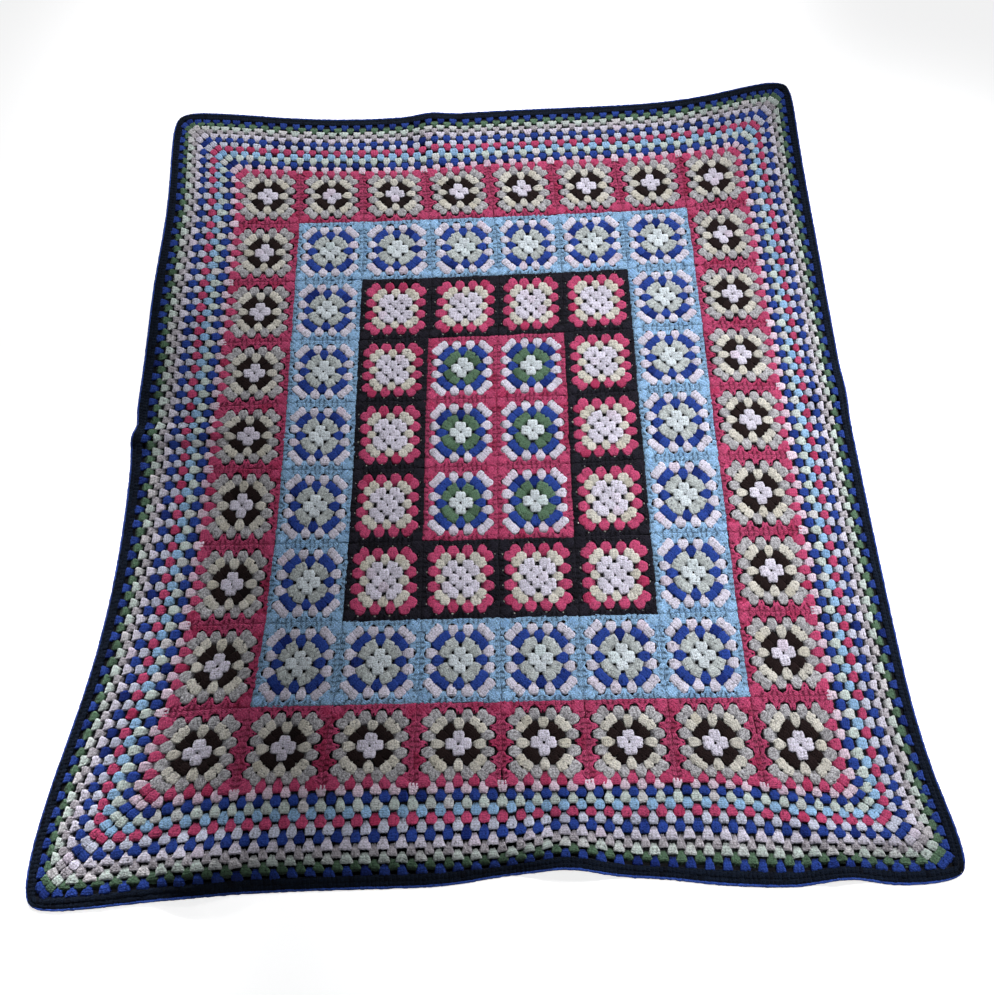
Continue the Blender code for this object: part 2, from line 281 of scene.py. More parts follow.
def makeYarn(name):
    first, second, mixed, clusters, sheen = yarns[name]
    finish = yarnFinish
    tree = ShaderTree(name)
    across, along, chance = tree.parts(tree.attribute("stitchPlace", "Vector"))
    paintedShadeDepth = tree.attribute("paintedShadeDepth", "Fac")
    parting = tree.attribute("parting", "Fac")
    wide = tree.attribute("stitchWidth", "Fac")
    cord = tree.attribute("cord", "Fac")

    # the loops of each of the three posts are small chevrons, a little uneven
    side = across * wide
    post = abs((across * 1.5 + 2.0).sum("FRACT", across * 1.5 + 2.0) - 0.5)
    uneven = tree.noise(tree.vector(side, along, chance * 30.0), 0.35, 1.0, 0.5) * finish["loopUneven"]
    loop = post * finish["loopSlant"] + along / finish["loopPitch"] + uneven + chance
    ply = (loop * (2 * math.pi)).sine()
    # the partings between the posts: painted dark as shade, and sunk in the bump
    line = 1.0 - abs(abs(across) - 0.32).step(0.0, finish["partingWidth"])
    parted = line * parting

    # the rim of a square is a row of small slanted stitches, with painted shade in the lines between them
    slant = ((side / finish["cordPitch"] + along * finish["cordSlant"]) * math.pi).sine()
    cordLine = (1.0 - abs(slant).step(0.10, 0.52)) * cord

    # streaks of the second colour lie along the plies
    streakPlace = tree.vector(side * 0.34 + along * 0.16, along * 0.14, chance * 90.0)
    streak = tree.noise(streakPlace, 1.6, 2.0, 0.55).step(0.42, 0.60) * mixed
    wholeCluster = (chance * 7.31).sum("FRACT", chance * 7.31).step(1.0 - clusters, 1.0)
    share = streak + wholeCluster * (1.0 - streak)
    colour = tree.blend(share, (*first, 1.0), (*second, 1.0))

    fuzz = tree.noise(tree.vector(side, along * 0.8, chance * 50.0), 0.56, 2.0, 0.75)
    # small pits between the loops: painted dark as shade, and sunk in the bump
    pits = 1.0 - tree.noise(tree.vector(side, along * 0.7, chance * 70.0), 0.40, 1.0, 0.5).step(0.30, 0.39)
    # painted shade: the yarn is darker deep between the stitches, in the partings between posts, in the lines
    # between the rim's slanted stitches and in the pits between loops; the loops, the fuzz and each cluster's
    # own tone vary its colour itself
    shade = (paintedShadeDepth * (1.0 - finish["paintedCreviceShade"]) + finish["paintedCreviceShade"]) * (1.0 - parted * finish["paintedPartingShade"])
    shade = shade * (1.0 - cordLine * finish["paintedCordShade"]) * (1.0 - pits * finish["paintedPitShade"])
    shade = shade * (1.0 + (chance - 0.5) * finish["clusterShift"])
    shade = shade * (1.0 - ply.step(-0.3, 1.0) * finish["loopDark"]) * (
        fuzz * finish["shadeRange"] + finish["shadeLow"]
    )
    colour = tree.blend(1.0, colour, tree.grey(shade), "MULTIPLY")
    tree.feed(tree.shader.inputs["Base Color"], colour)

    height = ply * 0.30 + fuzz * 0.6 - parted * 0.8 - cordLine * 1.2 - pits * 0.9
    tree.feed(tree.shader.inputs["Normal"],
              tree.bump(height, finish["bumpStrength"], finish["bumpDistance"]))
    tree.shader.inputs["Roughness"].default_value = finish["roughness"]
    tree.shader.inputs["Specular IOR Level"].default_value = finish["shine"]
    tree.shader.inputs["Sheen Weight"].default_value = sheen
    tree.shader.inputs["Sheen Roughness"].default_value = finish["sheenRoughness"]
    return tree.material


yarnNames = list(yarns)
yarnMaterials = {name: makeYarn(name) for name in yarnNames}
print("yarns made:", len(yarnMaterials))


# clusters of three posts, as small closed meshes

# across a cluster: place from -1 to 1, height, share of the groove, and how far the head stands out there
acrossStations = (
    (-1.00, 0.05, 0.0, -0.9),
    (-0.92, 0.66, 0.0, 0.1),
    (-0.66, 0.95, 0.0, 0.9),
    (-0.32, 1.00, 1.0, -0.7),
    (0.00, 1.00, 0.0, 1.0),
    (0.32, 1.00, 1.0, -0.7),
    (0.66, 0.95, 0.0, 0.9),
    (0.92, 0.66, 0.0, 0.1),
    (1.00, 0.05, 0.0, -0.9),
)

# along a cluster: place, which is 0 at its foot and 1 at its head, half width, height, groove, how far the
# lobes stand out, and share of the rim's small stitches; what lies before the foot is tucked under the
# round before
clusterForms = {
    "blob": (
        (-0.26, 0.36, 0.04, 0.0, 0.0, 0.0),
        (-0.03, 0.56, 0.20, 0.0, 0.0, 0.0),
        (0.05, 0.72, 0.66, 0.15, 0.0, 0.0),
        (0.32, 0.95, 0.95, 0.30, 0.0, 0.0),
        (0.66, 1.00, 1.02, 0.30, 0.0, 0.0),
        (0.92, 0.88, 0.84, 0.12, 0.5, 0.0),
        (1.00, 0.70, 0.05, 0.0, 1.0, 0.0),
    ),
    "round": (
        (-0.20, 0.42, 0.04, 0.0, 0.0, 0.0),
        (-0.02, 0.62, 0.26, 0.0, 0.0, 0.0),
        (0.09, 0.79, 0.70, 0.15, 0.0, 0.0),
        (0.34, 0.97, 0.96, 0.35, 0.0, 0.0),
        (0.66, 0.99, 1.02, 0.35, 0.0, 0.0),
        (0.90, 0.80, 0.84, 0.15, 0.5, 0.0),
        (1.00, 0.54, 0.05, 0.0, 1.0, 0.0),
    ),
    "fan": (
        (-0.26, 0.46, 0.04, 0.0, 0.0, 0.0),
        (-0.03, 0.58, 0.20, 0.0, 0.0, 0.0),
        (0.06, 0.68, 0.66, 0.15, 0.0, 0.0),
        (0.36, 0.84, 0.94, 0.30, 0.0, 0.0),
        (0.72, 0.97, 1.02, 0.30, 0.2, 0.0),
        (0.93, 1.00, 0.84, 0.12, 0.8, 0.0),
        (1.00, 0.92, 0.05, 0.0, 1.4, 0.0),
    ),
    "petal": (
        (-0.26, 0.80, 0.04, 0.0, 0.0, 0.0),
        (-0.03, 0.84, 0.20, 0.0, 0.0, 0.0),
        (0.07, 0.86, 0.66, 0.15, 0.0, 0.0),
        (0.32, 0.96, 0.95, 0.30, 0.0, 0.0),
        (0.66, 1.00, 1.02, 0.30, 0.0, 0.0),
        (0.92, 0.90, 0.84, 0.12, 0.5, 0.0),
        (1.00, 0.76, 0.05, 0.0, 1.0, 0.0),
    ),
    "pointed": (
        (-0.26, 0.70, 0.04, 0.0, 0.0, 0.0),
        (-0.03, 0.78, 0.20, 0.0, 0.0, 0.0),
        (0.06, 0.88, 0.66, 0.15, 0.0, 0.0),
        (0.32, 1.00, 0.95, 0.30, 0.0, 0.0),
        (0.64, 0.90, 1.02, 0.30, 0.0, 0.0),
        (0.90, 0.60, 0.82, 0.12, 0.3, 0.0),
        (1.00, 0.36, 0.05, 0.0, 0.5, 0.0),
    ),
    "lipped": (
        (-0.26, 0.36, 0.04, 0.0, 0.0, 0.0),
        (0.00, 0.60, 0.36, 0.0, 0.0, 0.0),
        (0.16, 0.86, 0.84, 0.25, 0.0, 0.0),
        (0.58, 1.00, 1.02, 0.30, 0.0, 0.0),
        (0.91, 0.88, 0.84, 0.12, 0.4, 0.0),
        (0.99, 0.66, 0.16, 0.0, 0.8, 0.0),
        (1.26, 0.40, 0.04, 0.0, 0.0, 0.0),
    ),
    "tooth": (
        (-0.26, 0.36, 0.04, 0.0, 0.0, 0.0),
        (-0.03, 0.50, 0.20, 0.0, 0.0, 0.0),
        (0.05, 0.60, 0.66, 0.15, 0.0, 0.0),
        (0.36, 0.78, 0.94, 0.30, 0.0, 0.0),
        (0.72, 0.96, 1.02, 0.30, 0.0, 0.0),
        (0.93, 1.00, 0.84, 0.12, 0.5, 0.0),
        (1.00, 0.90, 0.05, 0.0, 1.0, 0.0),
    ),
    "lippedTooth": (
        (-0.26, 0.34, 0.04, 0.0, 0.0, 0.0),
        (0.00, 0.50, 0.36, 0.0, 0.0, 0.0),
        (0.20, 0.66, 0.84, 0.25, 0.0, 0.0),
        (0.64, 0.92, 1.02, 0.30, 0.0, 0.0),
        (0.92, 1.00, 0.84, 0.12, 0.4, 0.0),
        (0.99, 0.88, 0.16, 0.0, 0.8, 0.0),
        (1.30, 0.80, 0.04, 0.0, 0.0, 0.0),
    ),
    "band": (
        (-0.14, 0.26, 0.04, 0.0, 0.0, 0.0),
        (0.02, 0.33, 0.46, 0.0, 0.0, 0.0),
        (0.16, 0.37, 0.84, 0.15, 0.0, 0.0),
        (0.44, 0.46, 0.90, 0.60, 0.0, 0.0),
        (0.58, 0.96, 0.90, 1.00, 0.0, 0.5),
        (0.93, 1.00, 1.06, 0.50, 0.0, 1.0),
        (1.00, 1.00, 0.05, 0.0, 0.0, 1.0),
    ),
    "prongs": (
        (0.00, 0.86, 0.30, 0.0, -0.8, 0.0),
        (0.07, 0.96, 0.92, 0.46, -0.5, 0.0),
        (0.22, 1.00, 1.00, 0.50, 0.0, 0.0),
        (0.42, 0.96, 1.00, 0.34, 0.0, 0.0),
        (0.70, 0.80, 1.00, 0.28, 0.0, 0.0),
        (0.92, 0.70, 0.80, 0.10, 0.5, 0.0),
        (1.00, 0.54, 0.05, 0.0, 1.0, 0.0),
    ),
}

dotStations = ((-1.0, 0.1, 0.0, -0.5), (0.0, 1.0, 0.0, 0.5), (1.0, 0.1, 0.0, -0.5))
dotForms = {
    "dot": ((0.0, 0.8, 0.3, 0.0, 0.0, 0.0), (0.5, 1.0, 1.0, 0.0, 0.0, 0.0), (1.0, 0.8, 0.3, 0.0, 0.0, 0.0)),
}

stitchShape = {
    "headReach": 0.040,  # of a cluster's length
    "placeShift": 0.42 * mm,
    "turnShift": math.radians(3.2),
    "sizeShift": 0.045,
    "heightShift": 0.06,
    "relief": 0.70,  # of the heights below
    "loopShift": 0.34 * mm,  # how far each point of a stitch strays
    "loopHeight": 0.07,
}


def gridFaces(acrossCount, alongCount):
    # the upper side of a stitch in quads, and its flat underside as one polygon
    index = np.arange(acrossCount * alongCount).reshape(alongCount, acrossCount)
    quads = np.stack([index[:-1, :-1], index[:-1, 1:], index[1:, 1:], index[1:, :-1]], -1).reshape(-1, 4)
    rim = np.concatenate([index[0], index[1:, -1], index[-1, -2::-1], index[-2:0:-1, 0]])
    return quads, rim[::-1]


class Stitches:
    # a list of stitches of one grid, to be turned into one joined mesh
    def __init__(self, stations, forms):
        self.stations = np.array(stations)
        self.names = list(forms)
        self.forms = np.array([forms[name] for name in self.names])
        self.rows = []

    def put(self, u, v, turn, width, length, height, form, yarn, lean=0.0):
        # turn is the way the head points, from +u towards +v
        row = (u, v, turn, width, length, height, self.names.index(form), yarnNames.index(yarn), lean)
        self.rows.append(row)

    def shape(self, random, stray=1.0):
        rows = np.array(self.rows)
        count = len(rows)
        u, v, turn, width, length, height, form, yarn, lean = rows.T
        look = stitchShape
        turn = turn + random.normal(0, look["turnShift"], count)
        width = width * (1 + random.normal(0, look["sizeShift"], count))
        length = length * (1 + random.normal(0, look["sizeShift"], count))
        height = height * look["relief"] * (1 + random.normal(0, look["heightShift"], count))
        u = u + stray * random.normal(0, look["placeShift"], count)
        v = v + stray * random.normal(0, look["placeShift"], count)
        chance = random.random(count)
        place, half, high, groove, head, cord = self.forms[form.astype(int)].transpose(2, 0, 1)[:, :, :, None]
        across, sideHigh, grooveShare, lobe = self.stations.T[:, None, None, :]
        side = width[:, None, None] / 2 * half * across + lean[:, None, None] * (place - 0.5)
        run = length[:, None, None] * (place - 0.5 + look["headReach"] * head * lobe)
        level = high * sideHigh * (1 - groove * grooveShare)
        up = height[:, None, None] * level
        wayU, wayV = np.cos(turn)[:, None, None], np.sin(turn)[:, None, None]
        flatU = u[:, None, None] + side * wayV + run * wayU
        flatV = v[:, None, None] - side * wayU + run * wayV
        shape = flatU.shape
        flatU = flatU + stray * random.normal(0, look["loopShift"], shape)
        flatV = flatV + stray * random.normal(0, look["loopShift"], shape)
        up = up * (1 + random.normal(0, look["loopHeight"], shape))
        mapV = (place - place[:, :1]) / (place[:, -1:] - place[:, :1])
        return {
            "places": liesAt(flatU, flatV, up).reshape(count, -1, 3),
            "across": np.broadcast_to(across, shape).reshape(count, -1),
            "along": (run / mm).reshape(count, -1),
            "chance": np.broadcast_to(chance[:, None, None], shape).reshape(count, -1),
            "level": level.reshape(count, -1) + np.zeros((count, 1)),
            "parting": np.broadcast_to(groove, shape).reshape(count, -1),
            "cord": np.broadcast_to(cord, shape).reshape(count, -1),
            "width": np.broadcast_to(width[:, None, None] * half / 2 / mm, shape).reshape(count, -1),
            "mapU": np.broadcast_to(across * 0.5 + 0.5, shape).reshape(count, -1),
            "mapV": np.broadcast_to(mapV, shape).reshape(count, -1),
            "yarn": yarn.astype(int),
            "grid": shape[1:],
        }


def joinStitches(name, groups):
    # one mesh of all the groups' stitches, with what the yarns read and a map that has a cell for each stitch
    total = sum(len(group["places"]) for group in groups)
    cells = math.ceil(math.sqrt(total))
    parts = {key: [] for key in ("points", "stitch", "parting", "cord", "width", "corners", "starts", "sizes",
                                 "yarn", "smooth", "paintedShadeDepth", "map")}
    pointsBefore = cornersBefore = stitchesBefore = 0
    for group in groups:
        count, pointCount = group["places"].shape[:2]
        alongCount, acrossCount = group["grid"]
        quads, rim = gridFaces(acrossCount, alongCount)
        first = pointsBefore + np.arange(count)[:, None] * pointCount
        corners = np.concatenate([quads.ravel(), rim])
        sizes = np.array([4] * len(quads) + [len(rim)])
        parts["points"].append(group["places"].reshape(-1, 3))
        stitch = np.stack([group["across"], group["along"], group["chance"]], -1)
        parts["stitch"].append(stitch.reshape(-1, 3))
        parts["parting"].append(group["parting"].ravel())
        parts["cord"].append(group["cord"].ravel())
        parts["width"].append(group["width"].ravel())
        parts["corners"].append((first + corners[None]).ravel())
        starts = np.cumsum(sizes) - sizes
        parts["starts"].append((cornersBefore + np.arange(count)[:, None] * len(corners) + starts).ravel())
        parts["sizes"].append(np.tile(sizes, count))
        parts["yarn"].append(np.repeat(group["yarn"], len(sizes)))
        parts["smooth"].append(np.tile(sizes == 4, count))
        # painted crevice shade: from 0 deep between the stitches to 1 on their tops, by each point's height
        # in its stitch
        paintedShadeDepth = np.clip((group["level"][:, corners] - 0.06) / 0.44, 0, 1)
        paintedShadeDepth[:, quads.size:] = 0.85  # the underside lies flat: painted crevice shade leaves it only a little darker
        parts["paintedShadeDepth"].append(paintedShadeDepth.ravel())
        number = stitchesBefore + np.arange(count)
        mapU = 0.06 + 0.88 * group["mapU"][:, corners]
        mapV = 0.05 + 0.70 * group["mapV"][:, corners]
        mapV[:, quads.size:] = 0.79 + 0.17 * group["mapV"][:, rim]
        cellU, cellV = (number % cells)[:, None], (number // cells)[:, None]
        parts["map"].append(np.stack([(cellU + mapU) / cells, (cellV + mapV) / cells], -1).reshape(-1, 2))
        pointsBefore += count * pointCount
        cornersBefore += count * len(corners)
        stitchesBefore += count
    joined = {key: np.concatenate(value) for key, value in parts.items()}

    mesh = bpy.data.meshes.new(name)
    mesh.vertices.add(pointsBefore)
    mesh.vertices.foreach_set("co", joined["points"].astype(np.float32).ravel())
    mesh.loops.add(cornersBefore)
    mesh.loops.foreach_set("vertex_index", joined["corners"].astype(np.int32))
    mesh.polygons.add(len(joined["sizes"]))
    mesh.polygons.foreach_set("loop_start", joined["starts"].astype(np.int32))
    used = sorted(set(joined["yarn"].tolist()))
    for index in used:
        mesh.materials.append(yarnMaterials[yarnNames[index]])
    mesh.polygons.foreach_set("material_index", np.searchsorted(used, joined["yarn"]).astype(np.int32))
    mesh.polygons.foreach_set("use_smooth", joined["smooth"])
    mesh.update(calc_edges=True)
    for key, kind, domain, values in (
        ("stitchPlace", "FLOAT_VECTOR", "POINT", joined["stitch"]),
        ("parting", "FLOAT", "POINT", joined["parting"]),
        ("cord", "FLOAT", "POINT", joined["cord"]),
        ("stitchWidth", "FLOAT", "POINT", joined["width"]),
        ("paintedShadeDepth", "FLOAT", "CORNER", joined["paintedShadeDepth"]),
    ):
        attribute = mesh.attributes.new(key, kind, domain)
        field = "vector" if kind == "FLOAT_VECTOR" else "value"
        attribute.data.foreach_set(field, values.astype(np.float32).ravel())
    layer = mesh.uv_layers.new(name="OFBake")
    layer.uv.foreach_set("vector", joined["map"].astype(np.float32).ravel())
    mesh.validate()
    piece = bpy.data.objects.new(name, mesh)
    bpy.context.scene.collection.objects.link(piece)
    mesh.calc_loop_triangles()
    print(f"{name}: {stitchesBefore} stitches, {len(mesh.loop_triangles)} triangles")
    return piece


# the granny squares

# the clusters of half a side of a square, in millimetres: round, place along the side, distance out from the
# square's middle, share of the tier's turn to the corner, width, length, height, form, lean to the corner
squareClusters = (
    (1, 0.0, 10.2, 0.0, 17.6, 17.0, 3.9, "blob", 0.0),
    (2, 12.0, 22.2, 0.60, 18.2, 15.4, 3.5, "petal", 0.0),
    (3, 0.0, 32.0, 0.0, 16.2, 15.6, 3.8, "round", 0.0),
    (3, 22.9, 32.4, 1.0, 17.4, 14.6, 3.7, "round", 0.0),
    (4, 11.3, 41.8, 0.0, 16.4, 14.2, 3.9, "lipped", 0.0),
    (4, 33.2, 42.8, 1.1, 17.0, 13.8, 3.9, "round", 0.0),
    (5, 0.0, 50.8, 0.0, 24.6, 15.1, 3.6, "band", 0.0),
    (5, 21.9, 50.8, 0.0, 24.6, 15.1, 3.6, "band", 0.0),
    (5, 42.8, 50.8, 0.0, 25.2, 15.1, 3.6, "band", 5.4),
)
# over each corner of a square: distance out both ways, width, length, height
cornerCover = (49.6, 15.0, 13.0, 3.8)

# what a tier has instead of these: the black tier's squares are fuller at the corners; the dark second round
# of the raspberry tier is four short bars with the third round reaching in between them
ownClusters = {
    "black": (
        (1, 0.0, 9.6, 0.0, 17.0, 16.0, 3.7, "blob", 0.0),
        (2, 11.6, 20.2, 0.15, 17.6, 15.4, 3.6, "petal", 0.0),
        (3, 0.0, 31.2, 0.0, 15.0, 14.6, 3.7, "round", 0.0),
        (3, 22.6, 31.6, 0.22, 16.4, 15.0, 3.8, "round", 0.0),
        (4, 11.3, 42.0, 0.0, 18.2, 16.0, 3.9, "pointed", 0.0),
        (4, 32.8, 42.2, 0.45, 17.8, 16.0, 3.9, "pointed", 0.0),
    ),
    "raspberry": (
        (1, 0.0, 9.8, 0.0, 16.8, 16.0, 3.9, "blob", 0.0),
        (2, 11.8, 20.6, 1.0, 14.8, 15.8, 3.5, "petal", 0.0),
        (3, 0.0, 29.6, 0.0, 14.8, 15.6, 3.8, "round", 0.0),
        (3, 22.4, 30.6, 0.70, 15.0, 14.6, 3.8, "round", 0.0),
        (4, 11.3, 40.8, 0.0, 17.0, 16.0, 3.9, "pointed", 0.0),
        (4, 32.2, 41.2, 0.50, 16.8, 16.0, 3.9, "pointed", 0.0),
    ),
}

# small openings between the clusters, in millimetres: the colour painted in them (near-black dots of painted
# shadow, and in the black tier pale dots painted as lit floor seen through), place along the side, distance
# out, width, length; one on a diagonal is as far along as it is out, and one in the middle is not out at all
openings = {
    "centre": (("paintedHoleShadow", 0.0, 0.0, 3.2, 3.2), ("paintedHoleShadow", 9.9, 9.9, 3.4, 3.0)),
    "black": (
        # pale dots painted as lit floor seen through the openings by the tips of the fourth round
        ("creamYarn", 11.3, 51.0, 3.4, 2.6), ("creamYarn", 35.4, 51.4, 3.4, 2.6),
        ("paintedHoleShadow", 0.0, 0.0, 5.0, 4.2), ("paintedHoleShadow", 9.6, 9.6, 3.6, 3.2),
        ("paintedHoleShadow", 0.0, 20.8, 5.0, 2.8), ("paintedHoleShadow", 20.4, 20.4, 3.6, 2.6),
    ),
    "lightBlue": (
        ("paintedHoleShadow", 11.3, 50.4, 6.4, 3.4), ("paintedHoleShadow", 36.0, 50.2, 6.4, 3.4),
        ("paintedHoleShadow", 0.0, 0.0, 3.6, 3.0), ("paintedHoleShadow", 10.2, 10.2, 4.6, 3.6),
        ("paintedHoleShadow", 0.0, 21.6, 4.0, 2.4),
    ),
    "raspberry": (
        ("paintedHoleShadow", 11.3, 50.0, 5.4, 3.2), ("paintedHoleShadow", 21.8, 45.2, 4.8, 4.2),
        ("paintedHoleShadow", 0.0, 44.4, 5.0, 4.4), ("paintedHoleShadow", 31.6, 50.6, 5.0, 3.0),
        ("paintedHoleShadow", 0.0, 0.0, 4.2, 3.6), ("paintedHoleShadow", 30.8, 30.8, 4.6, 3.4),
    ),
}
openingHeight = 4.3

# the yarns of the five rounds of each tier's squares, from the middle out
tierYarns = {
    "centre": ("mintWhiteYarn", "mossGreenYarn", "royalBlueYarn", "lilacWhiteYarn", "raspberryYarn"),
    "black": ("lilacWhiteYarn", "lilacWhiteYarn", "creamYarn", "raspberryYarn", "blackYarn"),
    "lightBlue": ("mintWhiteYarn", "silverMarlYarn", "royalBlueYarn", "lilacWhiteYarn", "skyBlueYarn"),
    "raspberry": ("lilacWhiteYarn", "darkBrownYarn", "creamYarn", "greyMarlYarn", "raspberryYarn"),
}

# a tier of squares: squares across and up outside and inside it, its node, its material slot, and how far its
# corner clusters turn to the corner
tiers = {
    "centre": {
        "outer": (2, 3), "inner": (0, 0), "node": "centre_block", "slot": "raspberry_yarn", "turn": 38,
    },
    "black": {
        "outer": (4, 5), "inner": (2, 3), "node": "black_tier", "slot": "black_yarn", "turn": 34,
    },
    "lightBlue": {
        "outer": (6, 7), "inner": (4, 5), "node": "light_blue_tier", "slot": "light_blue_yarn", "turn": 38,
    },
    "raspberry": {
        "outer": (8, 9), "inner": (6, 7), "node": "raspberry_tier", "slot": "raspberry_yarn", "turn": 34,
    },
}

# the last round where the border joins, in millimetres and degrees
rimCluster = {
    "width": 15.0, "length": 15.6, "height": 4.2, "out": 50.2,
    "joinAlong": 43.8, "joinWidth": 22.0, "joinLean": 5.0,
    "cornerAlong": 41.0, "cornerTurn": 36.0,
}


def squaresOf(tier):
    # the middles of a tier's squares, and which of their four sides meet the border
    square, (outerU, outerV), (innerU, innerV) = blanket["square"], tier["outer"], tier["inner"]
    for row in range(outerV):
        for column in range(outerU):
            u, v = (column + 0.5 - outerU / 2) * square, (row + 0.5 - outerV / 2) * square
            if abs(u) < innerU * square / 2 and abs(v) < innerV * square / 2:
                continue
            rims = (v < -panelV + square, u > panelU - square, v > panelV - square, u < -panelU + square)
            yield u, v, rims


def clustersOf(name):
    own = ownClusters.get(name, ())
    replaced = {row[0] for row in own}
    return [row for row in squareClusters if row[0] not in replaced] + list(own)


def putOpenings(stitches, middleU, middleV, rims, rows):
    for side in range(4):
        turn = math.radians(90 * side - 90)
        outU, outV = math.cos(turn), math.sin(turn)
        # each opening is a small dot of painted shadow, or of pale colour painted as lit floor seen through
        for yarn, along, out, width, length in rows:
            if out > 43 and rims[side]:
                continue
            if side and not out:
                continue
            diagonal = along == out
            for hand in (1, -1) if along and not diagonal else (1,):
                u = middleU + (out * outU - hand * along * outV) * mm
                v = middleV + (out * outV + hand * along * outU) * mm
                ownTurn = turn + (math.pi / 4 if diagonal else 0.0)
                stitches.put(u, v, ownTurn, width * mm, length * mm, openingHeight * mm, "dot", yarn)


def putCornerCovers(stitches, middleU, middleV, rims, yarn):
    # the turn of the last round at each corner between two sides that are joined to other squares
    out, width, length, height = (value * mm for value in cornerCover)
    for side in range(4):
        if rims[side] or rims[(side + 1) % 4]:
            continue
        first, second = math.radians(90 * side - 90), math.radians(90 * side)
        u = middleU + out * (math.cos(first) + math.cos(second))
        v = middleV + out * (math.sin(first) + math.sin(second))
        stitches.put(u, v, (first + second) / 2, width, length, height, "round", yarn)


def putSquare(stitches, middleU, middleV, rims, colours, cornerTurn, clusters):
    for side in range(4):
        turn = math.radians(90 * side - 90)
        outU, outV = math.cos(turn), math.sin(turn)
        for number, along, out, turnShare, width, length, height, form, lean in clusters:
            for hand in (1, -1) if along else (1,):
                place, toCorner = (along, out, width, length, height, form, lean), turnShare * cornerTurn
                if number == 5 and rims[side]:
                    rim, toCorner = rimCluster, 0.0
                    place = (along, rim["out"], rim["width"], rim["length"], rim["height"], "blob", 0.0)
                    if along > 40 and rims[(side + hand) % 4]:
                        toCorner = rim["cornerTurn"]
                        place = (rim["cornerAlong"],) + place[1:]
                    elif along > 40:
                        place = (rim["joinAlong"], rim["out"], rim["joinWidth"], rim["length"], rim["height"],
                                 "tooth", rim["joinLean"])
                reach, far, wide, long, high, shape, slope = place
                u = middleU + (far * outU - hand * reach * outV) * mm
                v = middleV + (far * outV + hand * reach * outU) * mm
                stitches.put(u, v, turn + hand * math.radians(toCorner), wide * mm, long * mm, high * mm,
                             shape, colours[number - 1], -hand * slope * mm)


def dressTier(name, seed, part=None):
    tier = tiers[name]
    stitches = Stitches(acrossStations, clusterForms)
    dots = Stitches(dotStations, dotForms)
    for u, v, rims in squaresOf(tier):
        if part is None or part(u, v):
            putSquare(stitches, u, v, rims, tierYarns[name], tier["turn"], clustersOf(name))
            putCornerCovers(stitches, u, v, rims, tierYarns[name][4])
            putOpenings(dots, u, v, rims, openings[name])
    random = np.random.default_rng(seed)
    return [group.shape(random) for group in (stitches, dots) if group.rows]


# the border

# the rounds of the border, from the panel out, in millimetres: yarn, form, distance out, width, height
borderRounds = (
    ("softPinkYarn", "blob", 3.0, 14.4, 4.1),
    ("royalBlueYarn", "round", 11.6, 14.6, 4.1),
    ("paleMintYarn", "blob", 21.6, 14.2, 4.0),
    ("skyBlueYarn", "round", 31.6, 15.0, 3.9),
    ("raspberryYarn", "round", 40.4, 15.4, 4.1),
    ("paleLilacYarn", "blob", 49.6, 14.4, 4.0),
    ("royalBlueYarn", "blob", 58.2, 14.6, 4.2),
    ("lilacWhiteYarn", "tooth", 67.4, 17.0, 4.3),
    ("paleMarlYarn", "tooth", 75.6, 14.0, 3.7),
    ("paleMintYarn", "tooth", 84.4, 16.8, 4.4),
    ("mossGreenYarn", "lippedTooth", 91.6, 15.4, 4.0),
    ("royalBlueYarn", "fan", 99.0, 14.2, 4.2),
)

border = {
    "squareSpacing": 22.6 * mm,
    "cornerSpacing": 8.4 * mm,  # from the corner of a round's line to each of its two corner clusters
    "cornerTurn": math.radians(38),
    "cornerWidth": 13.2 * mm,
    "cornerLength": 12.4 * mm,
    "slit": 5.2,  # between two clusters that lie one behind the other, two rounds apart
    "lastBefore": -8.0,  # the distance out of the squares' last round
    "nextAfter": 107.0,  # the distance out of what follows the border's last round
    "joinFoot": -7.6,  # the three long stitches at a join of two squares reach in to here
    "joinWidth": 15.0,
    "joinHeight": 5.0,
    "innerRounds": 7,
}


roundOuts = [border["lastBefore"]] + [values[2] for values in borderRounds] + [border["nextAfter"]]


def roundReach(number):
    # how far out from the panel a round's feet and its heads lie: it fills the space between the rounds
    # beside it
    return (roundOuts[number] + border["slit"] / 2) * mm, (roundOuts[number + 2] - border["slit"] / 2) * mm


def sidePlace(side, along, out):
    # a place on the layout from its place along a side and its distance out from the panel
    places = ((along, -panelV - out), (panelU + out, along), (-along, panelV + out), (-panelU - out, -along))
    return places[side]


def firstRound(squares):
    # where the first round's clusters lie along a side: in the gaps of each square's rim, and at each join
    places, joins = [], []
    for index in range(squares):
        middle = (index + 0.5 - squares / 2) * blanket["square"]
        for step in (-1.5, -0.5, 0.5, 1.5):
            places.append(middle + step * border["squareSpacing"])
        if index + 1 < squares:
            joins.append(middle + blanket["square"] / 2)
    return sorted(places + joins), joins


def putBorder(byRound):
    for side in range(4):
        squares = blanket["columns"] if side % 2 == 0 else blanket["rows"]
        half = blanket["square"] * squares / 2
        places, joins = firstRound(squares)
        turn = math.radians(90 * side - 90)
        for number, (yarn, form, out, width, height) in enumerate(borderRounds):
            foot, head = roundReach(number)
            middle, length = (foot + head) / 2, head - foot
            corner = half + out * mm - border["cornerSpacing"]
            stitches = byRound[number]
            for along in places:
                if number == 0 and along in joins:
                    start = border["joinFoot"] * mm
                    u, v = sidePlace(side, along, (start + head) / 2)
                    stitches.put(u, v, turn, border["joinWidth"] * mm, head - start,
                                 border["joinHeight"] * mm, "prongs", yarn)
                    continue
                u, v = sidePlace(side, along, middle)
                stitches.put(u, v, turn, width * mm, length, height * mm, form, yarn)
            for hand in (1, -1):
                u, v = sidePlace(side, hand * corner, out * mm)
                stitches.put(u, v, turn + hand * border["cornerTurn"], border["cornerWidth"],
                             border["cornerLength"], height * mm, "round", yarn)
            line = [-corner] + places + [corner]
            places = [(low + high) / 2 for low, high in zip(line, line[1:])]


borderStitches = [Stitches(acrossStations, clusterForms) for _ in borderRounds]
putBorder(borderStitches)


# the edging

